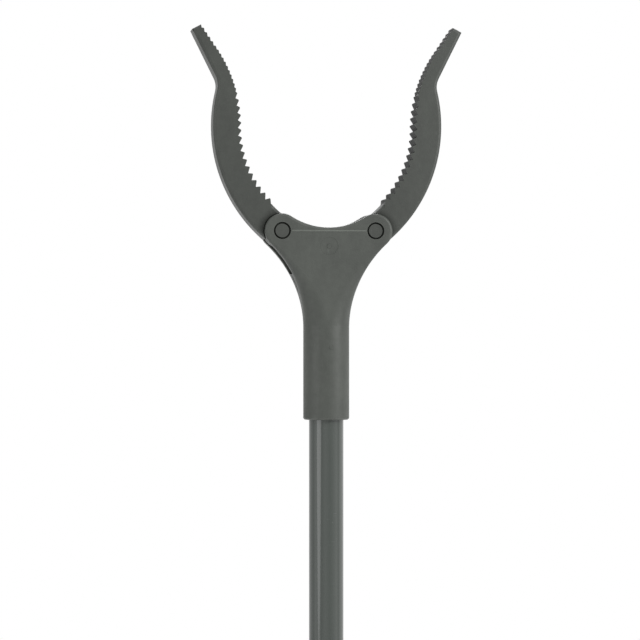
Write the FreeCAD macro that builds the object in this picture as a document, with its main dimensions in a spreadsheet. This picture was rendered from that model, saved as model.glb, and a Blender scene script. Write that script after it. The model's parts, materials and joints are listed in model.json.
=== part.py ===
import FreeCAD, Part

import math
import os
import re
import Sketcher
from FreeCAD import Placement, Rotation, Vector

# A hand-held reacher: two toothed jaws on a swivelling head, a slim tube with a pull rod
# inside it, and a pistol handle whose trigger draws the rod.
#
# Frame, in millimetres: +Z runs along the tube towards the jaws, +X towards the trigger's
# side, and -Y is the front. The origin is on the tube's axis, halfway along its bare length.
# The head is drawn in its own frame, whose origin is midway between the jaw pins, and the
# handle in another, whose origin is the mouth of its barrel, with Z falling towards the butt.

SIZES = [
    # tube and overall lengths
    ("tube_bare", 514.0, "bare tube between the head's sleeve and the handle"),
    ("tube_radius", 6.35, "outside radius of the half-inch tube"),
    ("tube_bore", 5.35, "inside radius of the tube"),
    ("tube_in_handle", 30.0, "tube length inside the handle's barrel"),
    ("stud_back", 15.0, "barrel mouth to the studs that hold the tube"),
    ("stud_radius", 2.0, "studs moulded in the handle shells"),
    ("stud_root", 1.1, "how deep those studs are rooted in the barrel's wall"),
    ("parting_bevel", 0.3, "bevel along the handle's back where its shells part"),
    ("slip", 0.05, "radial clearance of pieces that slide into each other"),
    ("overrun", 1.0, "how far cuts run past what they cut"),
    ("through", 60.0, "length of cuts that go right through a piece"),
    # head plates
    ("pin_x", 17.2, "jaw pin to the tube's axis"),
    ("lobe_radius", 6.3, "round lobes of the head about the pins"),
    ("notch_centre", 26.7, "height of the centre of the arc between the lobes"),
    ("neck_drop", 34.5, "pins down to where the head becomes a round sleeve"),
    ("sleeve_radius", 8.46, "outside radius of the sleeve"),
    ("sleeve_end", 69.2, "pins down to the sleeve's lower end"),
    ("sleeve_bevel", 0.5, "bevel at the sleeve's lower end"),
    ("head_half", 8.46, "half the head's depth"),
    ("hollow_half", 4.2, "half the gap between the head's plates"),
    ("head_edge", 1.0, "rounding of the head's rim about the lobes"),
    ("neck_edge", 8.4, "rounding of the rim where it meets the sleeve"),
    ("notch_wall", 1.2, "wall under the arc between the lobes"),
    ("notch_wall_x", 9.5, "half width of that wall"),
    ("side_wall", 1.6, "walls along the head's flanks"),
    ("side_wall_top", 15.7, "pins down to the top of the flank walls"),
    ("slot_end", 22.0, "pins down to the end of the open seam in the flanks"),
    ("seam_half", 0.6, "half the width of that seam"),
    ("seam_from", 5.0, "tube's axis to the seam's inner end"),
    ("open_reach", 30.0, "how far the hollow's outline runs past the head"),
    ("open_top", 9.0, "how far it runs above the pins"),
    ("line_half", 0.25, "half width of the fine ridge between the pins"),
    ("line_height", 0.2, "height of that ridge"),
    ("line_x", 13.9, "half length of that ridge"),
    ("nub_radius", 0.7, "moulding nubs on the head's front"),
    ("nub_height", 0.08, "how far the nubs stand proud"),
    ("nub_drop", 5.6, "pins down to the upper nub"),
    ("dimple_radius", 3.3, "round shallow dimple about the upper nub"),
    ("dimple_depth", 0.07, "depth of the dimple"),
    ("sleeve_nub_x", 0.8, "tube's axis to the nub on the sleeve"),
    ("sleeve_nub_drop", 42.6, "pins down to the nub on the sleeve"),
    # bores in the head
    ("flange_top", 37.5, "pins down to the top of the swivel flange"),
    ("flange_base", 40.0, "pins down to the flange's underside"),
    ("flange_radius", 6.95, "swivel flange"),
    ("flange_gap", 0.1, "clearance round the swivel flange"),
    ("ledge_top", 34.5, "pins down to the ledge under the return spring"),
    ("ledge_bore", 1.9, "hole in the ledge for the rod"),
    ("spring_bore", 4.0, "bore for the return spring"),
    ("spring_bore_top", 20.0, "pins down to the top of that bore"),
    # jaw pins and jaws
    ("pin_radius", 2.85, "jaw pins"),
    ("pin_hole_gap", 0.03, "clearance of the pins in the plates"),
    ("pin_nose", 2.5, "a pin's turned-down front end"),
    ("pin_ring", 3.15, "radius of the ring groove round a pin's front end"),
    ("pin_ring_depth", 1.0, "depth of that groove"),
    ("pin_front", 8.2, "middle plane to a pin's front end"),
    ("pin_flange_radius", 4.1, "flange at a pin's rear end"),
    ("pin_flange_from", 7.0, "middle plane to the flange's inner face"),
    ("pin_flange_to", 8.36, "middle plane to the flange's outer face"),
    ("hub_radius", 6.0, "jaw hub between the plates"),
    ("hub_half", 4.1, "half the hub's thickness"),
    ("hub_gap", 0.08, "radial clearance of a jaw on its pin"),
    ("jaw_half", 5.5, "half the jaw's depth"),
    ("jaw_step", 6.6, "radius about the pin where the full depth starts"),
    ("tail_length", 8.66, "jaw pin to link pin"),
    ("tail_angle", 16.0, "link pin below the pins' line, jaws open"),
    ("tail_end", 2.9, "radius of a tail's end"),
    ("fork_half", 2.1, "half the gap in a forked tail"),
    ("fork_ring", 4.2, "ring left round the jaw pin inside the fork"),
    ("link_radius", 1.5, "link pins"),
    ("link_half", 4.0, "half a link pin's length"),
    # a jaw's outline, measured across from the tube's axis and up from the pins
    ("jaw_back_x", -13.0, "centre of the arc of the right jaw's back, across"),
    ("jaw_back_rise", 38.7, "the same centre, up"),
    ("jaw_back_radius", 55.2, "radius of that arc"),
    ("jaw_back_low", -3.0, "height where the arc starts"),
    ("kink_rise", 53.9, "height where the back bends outwards"),
    ("kink_bend", 7.0, "radius of that bend"),
    ("jaw_edge", 1.2, "rounding along a jaw's back"),
    ("tip_x", 49.8, "outer corner of the tip, across"),
    ("tip_rise", 73.4, "outer corner of the tip, up"),
    ("tip_bend", 1.4, "rounding of that corner"),
    ("tip_inner_x", 46.6, "inner corner of the tip, across"),
    ("tip_inner_rise", 75.1, "inner corner of the tip, up"),
    ("pad_rise", 67.0, "height where the straight pad at the tip starts"),
    ("fine_rise", 50.0, "height where the fine teeth start"),
    ("coarse_rise", 11.6, "height of the lowest coarse tooth's crest"),
    ("throat_top", 10.2, "height of that tooth's foot, where the smooth throat ends"),
    ("throat_rise", 5.9, "height where the smooth throat starts"),
    ("throat_edge", 1.2, "rounding along the throat"),
    ("bend_x", 32.0, "where the two arcs of the toothed side meet, across"),
    ("bend_rise", 38.2, "where they meet, up"),
    ("upper_radius", 50.0, "radius of the upper arc of teeth"),
    ("lower_radius", 38.2, "radius of the lower arc of teeth"),
    ("throat_x", -9.6, "centre of the throat's arc, across"),
    ("throat_centre", 38.3, "centre of the throat's arc, up"),
    ("throat_radius", 41.6, "radius of the throat's arc"),
    # crosshead
    ("beam_half", 2.0, "half the crosshead beam's thickness"),
    ("slot_play", 0.22, "play of a link pin in its slot, either way"),
    ("slot_shift", 0.1, "slot centre below the link pin, jaws open"),
    ("beam_end", 12.6, "half the beam's length"),
    ("beam_wall", 1.2, "prongs above and below a slot"),
    ("slot_inner", 6.9, "inner end of the slots"),
    ("stem_half", 4.0, "half width of the crosshead's stem"),
    ("stem_end", 14.0, "pins down to the stem's end"),
    ("beam_dip", 1.0, "pins down to the beam's top at the middle"),
    ("knob_radius", 2.8, "knob on the rod's front end"),
    ("knob_top", 10.0, "pins down to the knob's top"),
    ("knob_base", 12.0, "pins down to the knob's underside"),
    ("knob_gap", 0.15, "clearance about the knob"),
    # pull rod and its guides
    ("rod_radius", 1.5, "pull rod"),
    ("guide_gap", 0.1, "radial clearance of the rod in its guides"),
    ("guide_length", 8.0, "a rod guide's length"),
    ("guide_spacing", 140.0, "distance between rod guides"),
    ("plug_end", 62.0, "pins down to the swivel plug's end"),
    ("rivet_radius", 1.2, "rivets through the tube into the plug"),
    ("rivet_drop", 52.0, "pins down to the rivets"),
    ("rivet_from", 2.6, "tube axis to a rivet's inner end"),
    ("rivet_to", 6.3, "tube axis to a rivet's outer end"),
    ("lug_inner", 3.4, "inner radius of the swivel's stop lug"),
    ("lug_outer", 6.2, "outer radius of the stop lug"),
    ("lug_height", 1.2, "height of the stop lug"),
    ("lug_half_angle", 12.0, "half the lug's angle"),
    ("lug_angle", 135.3, "lug's direction about the tube"),
    ("lug_play", 0.3, "play of the lug, in degrees, at either stop"),
    ("lug_gap", 0.15, "clearance about the lug"),
    ("swivel", 90.0, "how far the head swivels, in degrees"),
    # return spring
    ("coil_radius", 3.0, "mean radius of the return spring"),
    ("wire_radius", 0.4, "wire of the return spring"),
    ("coil_pitch", 2.7, "pitch of the return spring"),
    ("coil_turns", 7.0, "turns of the return spring"),
    ("coil_base", 34.05, "pins down to the first coil's centre"),
    # screws
    ("head_screw_x", 9.6, "head screws to the tube's axis"),
    ("head_screw_drop", 14.6, "pins down to the head screws"),
    ("head_boss", 2.6, "bosses of the head screws"),
    ("head_screw_radius", 1.1, "head screw shank"),
    ("head_screw_head", 2.0, "head screw head"),
    ("head_screw_deep", 6.0, "how far a head screw enters the front shell"),
    ("head_screw_seat", 6.3, "middle plane to under the screw's head"),
    ("cap_height", 0.9, "height of a screw head's round rim"),
    ("cap_rise", 0.5, "height of the bevel above that rim"),
    ("cap_bevel", 0.6, "how far the bevel runs in"),
    ("cross_half", 0.35, "half the width of the cross slots in the screw heads"),
    ("cross_reach", 0.62, "reach of those slots, as a share of the head's radius"),
    ("cross_depth", 0.9, "depth of those slots"),
    ("thread_gap", 0.02, "clearance drawn between screws and pilot holes"),
    ("through_gap", 0.2, "clearance of screws in the rear shells"),
    ("hand_screw_radius", 1.4, "handle screw shank"),
    ("hand_screw_head", 2.8, "handle screw head"),
    ("hand_boss", 3.3, "bosses of the handle screws"),
    ("hand_screw_deep", 8.0, "how far a handle screw enters the front shell"),
    ("hand_screw_seat", 8.6, "middle plane to under the screw's head"),
    # handle
    ("barrel_radius", 8.46, "round barrel at the handle's front"),
    ("grip_start", 35.0, "barrel mouth back to the grip"),
    ("grip_half", 12.5, "half the grip's width"),
    ("grip_wall", 2.2, "wall of the handle shells"),
    ("front_wall", 4.2, "wall across the front of the grip"),
    ("grip_edge", 7.0, "rounding along the grip's back"),
    ("grip_inner_edge", 4.6, "rounding inside the back"),
    ("shoulder_length", 8.0, "length over which the grip widens behind the barrel"),
    ("mouth_bevel", 1.0, "bevel at the barrel's mouth"),
    ("hump_back", 66.0, "barrel mouth back to the hump behind the thumb"),
    ("hump_rise", 11.0, "hump above the tube's axis"),
    ("hump_bend", 150.0, "radius of the back in front of the hump"),
    ("heel_back", 137.0, "barrel mouth back to the heel"),
    ("heel_depth", 24.0, "tube axis down to the heel"),
    ("toe_back", 130.0, "barrel mouth back to the butt's lower corner"),
    ("toe_depth", 51.0, "tube axis down to the butt's lower corner"),
    ("lip_back", 38.0, "barrel mouth back to the front of the open side"),
    ("lip_depth", 16.5, "tube axis down to the front of the open side"),
    ("chin_depth", 11.0, "grip's front edge below the tube's axis"),
    ("rail_half", 4.6, "half the gap between the slider's rails"),
    ("rail_thick", 1.6, "rails in the shells"),
    ("rail_from", 4.2, "middle plane to a rail's inner edge"),
    ("rail_start", 37.5, "barrel mouth back to the rails' front"),
    ("rail_end", 57.0, "barrel mouth back to the rails' end"),
    ("inner_half", 10.4, "middle plane to the shell's inner wall"),
    # hook under the barrel
    ("hook_back", 17.0, "barrel mouth back to the hook's centre"),
    ("hook_depth", 23.5, "tube axis down to the hook's centre"),
    ("hook_radius", 4.5, "inside radius of the hook"),
    ("hook_thick", 3.0, "thickness of the hook"),
    ("hook_half", 4.0, "half the hook's width"),
    ("hook_root_depth", 7.0, "tube axis down to where the hook leaves the barrel"),
    ("hook_root_back", 35.5, "barrel mouth back to that place"),
    # trigger
    ("trunnion_back", 46.8, "barrel mouth back to the trigger's pivot"),
    ("trunnion_depth", 14.7, "tube axis down to the trigger's pivot"),
    ("trunnion_radius", 2.4, "trunnions of the trigger"),
    ("trunnion_half", 12.4, "middle plane to a trunnion's end"),
    ("trigger_boss", 5.0, "trigger's radius about its pivot"),
    ("trigger_half", 9.9, "half the trigger's width"),
    ("trigger_wall", 2.0, "wall of the trigger"),
    ("trigger_edge", 3.0, "rounding where the fingers pull"),
    ("trigger_top_back", 124.0, "barrel mouth back to the trigger's rear top"),
    ("trigger_top_depth", 43.5, "tube axis down to the trigger's rear top"),
    ("trigger_low_back", 114.0, "barrel mouth back to its rear bottom"),
    ("trigger_low_depth", 65.5, "tube axis down to its rear bottom"),
    ("trigger_bend", 180.0, "radius of the edge the fingers pull"),
    ("trigger_nose_back", 42.0, "barrel mouth back to where the nose starts"),
    ("trigger_nose_depth", 41.0, "tube axis down to where the nose starts"),
    ("trigger_tip_back", 32.0, "barrel mouth back to the trigger's front"),
    ("trigger_tip_depth", 25.0, "tube axis down to the trigger's front"),
    ("trigger_neck_back", 42.2, "barrel mouth back to where the boss starts"),
    ("trigger_neck_depth", 16.7, "tube axis down to where the boss starts"),
    # slider and drive pin
    ("drive_arm", 16.5, "trigger pivot down to the drive pin's line"),
    ("drive_travel", 4.198, "how far the rod is drawn"),
    ("drive_radius", 1.5, "drive pin"),
    ("drive_half", 9.7, "half the drive pin's length"),
    ("drive_hole", 1.72, "holes in the trigger for the drive pin"),
    ("drive_hole_arm", 16.565, "trigger pivot to the centre of those holes"),
    ("slider_front", 39.5, "barrel mouth back to the slider's front"),
    ("slider_back", 49.0, "barrel mouth back to the slider's rear face"),
    ("slider_half", 4.5, "half the slider's height"),
    ("slider_width", 8.0, "half the slider's width"),
    ("leg_half", 3.4, "half the leg's width and half its length"),
    ("nut_radius", 3.1, "corner radius of the rod nut"),
    ("nut_height", 2.4, "height of the rod nut"),
    ("rod_tail", 53.0, "barrel mouth back to the rod's end"),
]

doc = FreeCAD.newDocument("reacher_grabber")
sheet = doc.addObject("Spreadsheet::Sheet", "sizes")
for row, (alias, value, meaning) in enumerate(SIZES, start=1):
    sheet.set(f"A{row}", alias)
    sheet.set(f"B{row}", str(value))
    sheet.setAlias(f"B{row}", alias)
    sheet.set(f"C{row}", meaning)
doc.recompute()

ALIASES = {alias for alias, value, meaning in SIZES}
TOUCH = 1e-3   # places closer than this count as one


# ---------------------------------------------------------------- helpers

def cells(expression):
    """The expression with each alias written as a reference to the sheet."""
    return re.sub(r"[a-z_]+", lambda w: f"sizes.{w[0]}" if w[0] in ALIASES else w[0], str(expression))


def size(expression):
    """The value of an expression of the sheet's aliases."""
    return float(sheet.evalExpression(str(expression)))


def bind(thing, **expressions):
    """Bind properties to the sheet; a double underscore in a name stands for a dot."""
    for name, expression in expressions.items():
        thing.setExpression(name.replace("__", "."), cells(expression))


def new_body(label, lift="0"):
    """A body whose own frame is raised by lift along the tube."""
    body = doc.addObject("PartDesign::Body", label)
    body.Label = label
    bind(body, Placement__Base__z=lift)
    return body


def new_sketch(body, role, lift="0"):
    """An empty sketch on one of the body's origin planes, moved along its normal by lift."""
    sketch = body.newObject("Sketcher::SketchObject", body.Name + "_sketch")
    plane = next(f for f in body.Origin.OriginFeatures if f.Role == role)
    sketch.AttachmentSupport = (plane, "")
    sketch.MapMode = "FlatFace"
    bind(sketch, AttachmentOffset__Base__z=lift)
    return sketch


def pin_down(sketch, geometry, position, x, y):
    """Hold a point of the sketch at (x, y), both expressions."""
    for kind, expression in (("DistanceX", x), ("DistanceY", y)):
        index = sketch.addConstraint(Sketcher.Constraint(kind, -1, 1, geometry, position, size(expression)))
        name = f"place_{index}"
        sketch.renameConstraint(index, name)
        sketch.setExpression(f"Constraints.{name}", cells(expression))


def hold_radius(sketch, geometry, radius):
    index = sketch.addConstraint(Sketcher.Constraint("Radius", geometry, size(radius)))
    name = f"radius_{index}"
    sketch.renameConstraint(index, name)
    sketch.setExpression(f"Constraints.{name}", cells(radius))


def add_circle(sketch, radius, x="0", y="0"):
    centre = Vector(size(x), size(y), 0)
    index = sketch.addGeometry(Part.Circle(centre, Vector(0, 0, 1), size(radius)))
    pin_down(sketch, index, 3, x, y)
    hold_radius(sketch, index, radius)


def arc_centre(start, end, radius, turn):
    """Centre of the arc shorter than half a turn; turn is 1 anticlockwise, -1 clockwise."""
    chord = end - start
    rise = math.sqrt(radius ** 2 - (chord.Length / 2) ** 2)
    left = Vector(-chord.y, chord.x, 0).normalize()
    return (start + end) / 2 + left * rise * turn


def add_outline(sketch, corners):
    """A closed outline. Each corner is (x, y) or (x, y, radius, turn): the arc that reaches it."""
    points = [Vector(size(c[0]), size(c[1]), 0) for c in corners]
    ends = []
    for i, corner in enumerate(corners):
        start, end = points[i - 1], points[i]
        if len(corner) == 2:
            index = sketch.addGeometry(Part.LineSegment(start, end))
            ends.append((index, 1, 2))
            continue
        radius, turn = size(corner[2]), corner[3]
        centre = arc_centre(start, end, radius, turn)
        first, last = (start, end) if turn > 0 else (end, start)
        angles = [math.atan2(p.y - centre.y, p.x - centre.x) for p in (first, last)]
        circle = Part.Circle(centre, Vector(0, 0, 1), radius)
        index = sketch.addGeometry(Part.ArcOfCircle(circle, angles[0], angles[1]))
        ends.append((index, 1, 2) if turn > 0 else (index, 2, 1))
        hold_radius(sketch, index, corner[2])
    for i, corner in enumerate(corners):
        index, head, tail = ends[i]
        after = ends[(i + 1) % len(ends)]
        sketch.addConstraint(Sketcher.Constraint("Coincident", index, tail, after[0], after[1]))
        pin_down(sketch, index, tail, corner[0], corner[1])


def tangent_arcs(points, bend, inset="0"):
    """Anticlockwise arcs through the points that run into each other, all moved inwards by inset.

    bend is the first arc's radius; tangency gives the others. The first point isn't returned.
    """
    corners, heading = [], ""
    for (x_0, z_0), (x_1, z_1) in zip(points, points[1:]):
        across, along = f"(({x_1}) - ({x_0}))", f"(({z_1}) - ({z_0}))"
        chord = f"sqrt({across}^2 + {along}^2)"
        angle = f"atan2({along}; {across})"
        half_turn = f"({angle} - {heading})" if heading else f"asin({chord} / 2 / {bend})"
        heading = f"({angle} + {half_turn})"
        corners.append((f"{x_1} - {inset} * sin({heading})", f"{z_1} + {inset} * cos({heading})",
                        f"({chord} / 2 / sin({half_turn}) - {inset})", 1))
    return corners


def rectangle(x_low, x_high, y_low, y_high):
    return [(x_low, y_low), (x_high, y_low), (x_high, y_high), (x_low, y_high)]


def feature(body, kind, sketch, reverse=False, symmetric=False, **expressions):
    """A pad, pocket or turned feature of a sketch, checked to have added or removed material."""
    before = body.Shape.Volume if body.Tip else 0.0
    made = body.newObject(f"PartDesign::{kind}", f"{body.Name}_{kind}")
    made.Profile = sketch
    made.Reversed = reverse
    if kind in ("Revolution", "Groove"):
        made.ReferenceAxis = (sketch, ["V_Axis"])
    elif symmetric:
        made.SideType = "Symmetric"
    bind(made, **expressions)
    sketch.Visibility = False
    doc.recompute()
    change = body.Shape.Volume - before
    if change * (-1 if kind in ("Pocket", "Groove") else 1) <= 0:
        raise RuntimeError(f"{made.Name} changed {body.Name}'s volume by {change:.3f}")
    return made


def recompute_or_stop(made):
    doc.recompute()
    if {"Invalid", "Error"} & set(made.State):
        raise RuntimeError(f"{made.Name} failed")


def dress_edges(body, kind, chosen, **expressions):
    """Fillet or chamfer the edges of the body for which chosen(edge) is true."""
    tip = body.Tip
    names = [f"Edge{i}" for i, e in enumerate(tip.Shape.Edges, start=1) if chosen(e)]
    made = body.newObject(f"PartDesign::{kind}", f"{body.Name}_{kind}")
    made.Base = (tip, names)
    bind(made, **expressions)
    recompute_or_stop(made)


def in_plane(edge, y):
    extent = edge.BoundBox
    return extent.YLength < TOUCH and abs(extent.YMin - y) < TOUCH


def curved(edge):
    return "Circle" in edge.Curve.TypeId


def hollow_out(body, thickness, chosen):
    """Turn the body into a wall of this thickness, open at the chosen faces."""
    tip = body.Tip
    names = [f"Face{i}" for i, f in enumerate(tip.Shape.Faces, start=1) if chosen(f)]
    made = body.newObject("PartDesign::Thickness", f"{body.Name}_Thickness")
    made.Base = (tip, names)
    made.Reversed = True
    bind(made, Value=thickness)
    recompute_or_stop(made)


def cylinder(name, radius, height, x="0", y="0", z="0", along=Vector(0, 0, 1)):
    made = doc.addObject("Part::Cylinder", name)
    made.Placement = Placement(Vector(), Rotation(Vector(0, 0, 1), along))
    bind(made, Radius=radius, Height=height)
    bind(made, Placement__Base__x=x, Placement__Base__y=y, Placement__Base__z=z)
    return made


def box(name, length, width, height, x, y, z):
    """A box that runs from the corner (x, y, z)."""
    made = doc.addObject("Part::Box", name)
    bind(made, Length=length, Width=width, Height=height)
    bind(made, Placement__Base__x=x, Placement__Base__y=y, Placement__Base__z=z)
    return made


def combine(kind, label, **links):
    made = doc.addObject(kind, label)
    made.Label = label
    for name, value in links.items():
        setattr(made, name, value)
    return made


HEAD = "tube_bare / 2 + sleeve_end"
HANDLE = "-tube_bare / 2"
BACK = Vector(0, 1, 0)

# ---------------------------------------------------------------- tube

tube = new_body("shaft_tube")
section = new_sketch(tube, "XY_Plane", "-tube_bare / 2 - tube_in_handle")
add_circle(section, "tube_radius")
add_circle(section, "tube_bore")
feature(tube, "Pad", section,
        Length="tube_bare + tube_in_handle + sleeve_end - flange_base - slip")
holes = new_sketch(tube, "XZ_Plane")
add_circle(holes, "stud_radius + slip", "0", "-tube_bare / 2 - stud_back")
feature(tube, "Pocket", holes, symmetric=True, Length="through")
holes = new_sketch(tube, "YZ_Plane")
add_circle(holes, "rivet_radius + slip", "0", "tube_bare / 2 + sleeve_end - rivet_drop")
feature(tube, "Pocket", holes, symmetric=True, Length="through")

# ---------------------------------------------------------------- head shells

# The notch between the lobes and the hollow flanks are arcs tangent to the lobes.
NOTCH_REACH = "sqrt(pin_x^2 + notch_centre^2)"
NOTCH_RADIUS = f"({NOTCH_REACH} - lobe_radius)"
NOTCH_END_X = f"pin_x * (1 - lobe_radius / {NOTCH_REACH})"
NOTCH_END_Z = f"notch_centre * lobe_radius / {NOTCH_REACH}"
WAIST_RADIUS = ("(((pin_x - sleeve_radius)^2 + neck_drop^2 - lobe_radius^2)"
                " / (2 * (lobe_radius + pin_x - sleeve_radius)))")
WAIST_X = f"(sleeve_radius + {WAIST_RADIUS})"
WAIST_TOP_X = f"pin_x + lobe_radius * ({WAIST_X} - pin_x) / ({WAIST_RADIUS} + lobe_radius)"
WAIST_TOP_Z = f"-lobe_radius * neck_drop / ({WAIST_RADIUS} + lobe_radius)"
INNER_WAIST = f"({WAIST_RADIUS} + side_wall)"


def inner_waist_x(drop):
    """Inner face of a flank wall, at a distance below the pins."""
    return f"{WAIST_X} - sqrt({INNER_WAIST}^2 - (neck_drop - {drop})^2)"


def draw_head_plate(sketch):
    add_outline(sketch, [
        ("sleeve_radius", "-neck_drop"),
        (WAIST_TOP_X, WAIST_TOP_Z, WAIST_RADIUS, -1),
        ("pin_x + lobe_radius", "0", "lobe_radius", 1),
        ("pin_x", "lobe_radius", "lobe_radius", 1),
        (NOTCH_END_X, NOTCH_END_Z, "lobe_radius", 1),
        (f"-({NOTCH_END_X})", NOTCH_END_Z, NOTCH_RADIUS, -1),
        ("-pin_x", "lobe_radius", "lobe_radius", 1),
        ("-pin_x - lobe_radius", "0", "lobe_radius", 1),
        (f"-({WAIST_TOP_X})", WAIST_TOP_Z, "lobe_radius", 1),
        ("-sleeve_radius", "-neck_drop", WAIST_RADIUS, -1),
    ])


def draw_head_hollow(sketch):
    wall_z = f"notch_centre - sqrt(({NOTCH_RADIUS} + notch_wall)^2 - notch_wall_x^2)"
    add_outline(sketch, [
        ("notch_wall_x", wall_z),
        ("-notch_wall_x", wall_z, f"{NOTCH_RADIUS} + notch_wall", -1),
        ("-notch_wall_x", "open_top"),
        ("-open_reach", "open_top"),
        ("-open_reach", "-side_wall_top"),
        (f"-({inner_waist_x('side_wall_top')})", "-side_wall_top"),
        (f"-({inner_waist_x('slot_end')})", "-slot_end", INNER_WAIST, -1),
        (inner_waist_x("slot_end"), "-slot_end"),
        (inner_waist_x("side_wall_top"), "-side_wall_top", INNER_WAIST, -1),
        ("open_reach", "-side_wall_top"),
        ("open_reach", "open_top"),
        ("notch_wall_x", "open_top"),
    ])


def make_head_plate():
    """The flat plate. Its rim is crisp about the lobes and grows rounder down to the neck."""
    body = new_body("head_plate")
    plate = new_sketch(body, "XZ_Plane")
    draw_head_plate(plate)
    feature(body, "Pad", plate, Length="head_half")
    face, neck = -size("head_half"), -size("neck_drop")
    edges = []
    for index, edge in enumerate(body.Shape.Edges, start=1):
        if in_plane(edge, face) and curved(edge):
            ends = [edge.Vertexes[i].Point.z for i in (0, -1)]
            radii = [size("neck_edge") if abs(z - neck) < TOUCH else size("head_edge") for z in ends]
            edges.append((index, *radii))
    rounded = doc.addObject("Part::Fillet", "head_plate_rounded")
    rounded.Base = body
    rounded.Edges = edges
    recompute_or_stop(rounded)
    return rounded


def add_sleeve(body):
    """The round sleeve, whose front is flush with the plate's face."""
    sleeve = new_sketch(body, "XZ_Plane")
    add_outline(sleeve, [
        ("0", "-sleeve_end"),
        ("sleeve_radius - sleeve_bevel", "-sleeve_end"),
        ("sleeve_radius", "-sleeve_end + sleeve_bevel"),
        ("sleeve_radius", "-neck_drop"),
        ("0", "-neck_drop"),
    ])
    feature(body, "Revolution", sleeve, reverse=True, Angle="180")


def cut_head_inside(body):
    """The hollow between the plates, the stepped bore, the seam, and the screws' bosses."""
    hollow = new_sketch(body, "XZ_Plane")
    draw_head_hollow(hollow)
    feature(body, "Pocket", hollow, reverse=True, Length="hollow_half")
    bores = new_sketch(body, "XZ_Plane")
    add_outline(bores, [
        ("0", "-sleeve_end - overrun"),
        ("tube_radius + slip", "-sleeve_end - overrun"),
        ("tube_radius + slip", "-flange_base - flange_gap"),
        ("flange_radius + flange_gap", "-flange_base - flange_gap"),
        ("flange_radius + flange_gap", "-flange_top + flange_gap"),
        ("ledge_bore", "-flange_top + flange_gap"),
        ("ledge_bore", "-ledge_top"),
        ("spring_bore", "-ledge_top"),
        ("spring_bore", "-spring_bore_top"),
        ("0", "-spring_bore_top"),
    ])
    feature(body, "Groove", bores, Angle="360")
    seam = new_sketch(body, "XZ_Plane")
    for low, high in (("seam_from", "open_reach"), ("-open_reach", "-seam_from")):
        add_outline(seam, rectangle(low, high, "-slot_end", "-side_wall_top + overrun"))
    feature(body, "Pocket", seam, reverse=True, Length="seam_half")
    bosses = new_sketch(body, "XZ_Plane")
    for side in ("head_screw_x", "-head_screw_x"):
        add_circle(bosses, "head_boss", side, "-head_screw_drop")
    feature(body, "Pad", bosses, Length="hollow_half + slip")
    pilots = new_sketch(body, "XZ_Plane")
    for side in ("head_screw_x", "-head_screw_x"):
        add_circle(pilots, "head_screw_radius + thread_gap", side, "-head_screw_drop")
    feature(body, "Pocket", pilots, reverse=True, Length="head_screw_deep + thread_gap")


def add_head_face(body):
    """The pin holes with their ring grooves, the fine ridge between them, and the nubs."""
    pins = new_sketch(body, "XZ_Plane")
    for side in ("pin_x", "-pin_x"):
        add_circle(pins, "pin_radius + pin_hole_gap", side)
    feature(body, "Pocket", pins, reverse=True, Length="head_half + overrun")
    rings = new_sketch(body, "XZ_Plane", "head_half")
    for side in ("pin_x", "-pin_x"):
        add_circle(rings, "pin_ring", side)
    feature(body, "Pocket", rings, Length="pin_ring_depth")
    dimple = new_sketch(body, "XZ_Plane", "head_half")
    add_circle(dimple, "dimple_radius", "0", "-nub_drop")
    feature(body, "Pocket", dimple, Length="dimple_depth")
    ridge = new_sketch(body, "YZ_Plane")
    add_outline(ridge, [
        ("-head_half - line_height", "0"),
        ("-head_half + line_height", "-2 * line_half"),
        ("-head_half + line_height", "2 * line_half"),
    ])
    feature(body, "Pad", ridge, symmetric=True, Length="2 * line_x")
    nub = new_sketch(body, "XZ_Plane", "head_half - dimple_depth - slip")
    add_circle(nub, "nub_radius", "0", "-nub_drop")
    feature(body, "Pad", nub, Length="dimple_depth + slip + nub_height")
    nub = new_sketch(body, "XZ_Plane", "sleeve_radius - nub_radius")
    add_circle(nub, "nub_radius", "sleeve_nub_x", "-sleeve_nub_drop")
    feature(body, "Pad", nub, Length="nub_radius + nub_height")


def make_head_front():
    body = new_body("head_shell_front", HEAD)
    body.BaseFeature = make_head_plate()
    doc.recompute()
    add_sleeve(body)
    cut_head_inside(body)
    add_head_face(body)
    return body


head_front = make_head_front()

# The rear shell mirrors the front one; the screws enter through it, the jaw pins' flanges
# sink into it and it holds the pocket in which the swivel's stop lug travels.


def lug_pocket():
    """Half-ring pocket above the swivel flange, as long as the swivel needs."""
    body = new_body("lug_pocket", HEAD)
    sketch = new_sketch(body, "XY_Plane", "-flange_top")
    inner, outer = "lug_inner - lug_gap", "lug_outer + lug_gap"
    high = "(lug_angle + lug_half_angle + lug_play)"
    low = "(lug_angle - swivel - lug_half_angle - lug_play)"
    add_outline(sketch, [
        (f"({outer}) * cos({low})", f"({outer}) * sin({low})"),
        (f"({outer}) * cos({high})", f"({outer}) * sin({high})", outer, 1),
        (f"({inner}) * cos({high})", f"({inner}) * sin({high})"),
        (f"({inner}) * cos({low})", f"({inner}) * sin({low})", inner, -1),
    ])
    feature(body, "Pad", sketch, Length="lug_height + lug_gap")
    return body


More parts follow.
